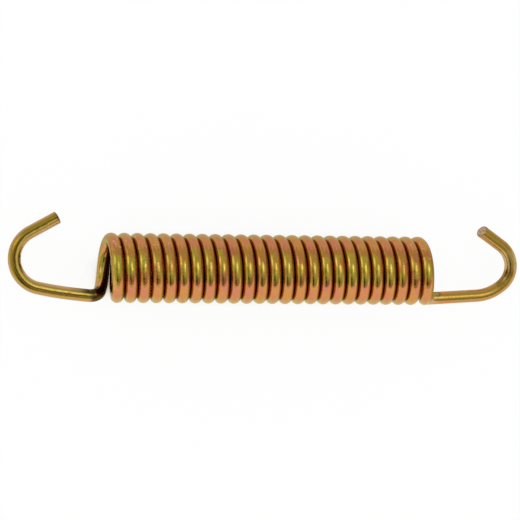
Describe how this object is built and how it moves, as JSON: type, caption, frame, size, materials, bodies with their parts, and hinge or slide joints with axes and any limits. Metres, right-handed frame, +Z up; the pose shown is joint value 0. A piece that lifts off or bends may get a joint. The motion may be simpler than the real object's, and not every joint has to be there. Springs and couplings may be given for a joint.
{
  "type": "extension spring",
  "caption": "Extension spring: round wire wound close in a right-hand coil, with a side leg and an open hook bent from each end.",
  "frame": {"origin": "under the middle of the spring, on the surface that it lies on", "axes": "+X along the coil's axis from the long hook to the short hook, +Y the way that both hooks open, +Z up"},
  "size_m": [0.101, 0.0174, 0.0134],
  "materials": {
    "plated_wire": "satin"
  },
  "bodies": {
    "root": {"spring": "plated_wire"}
  },
  "joints": []
}
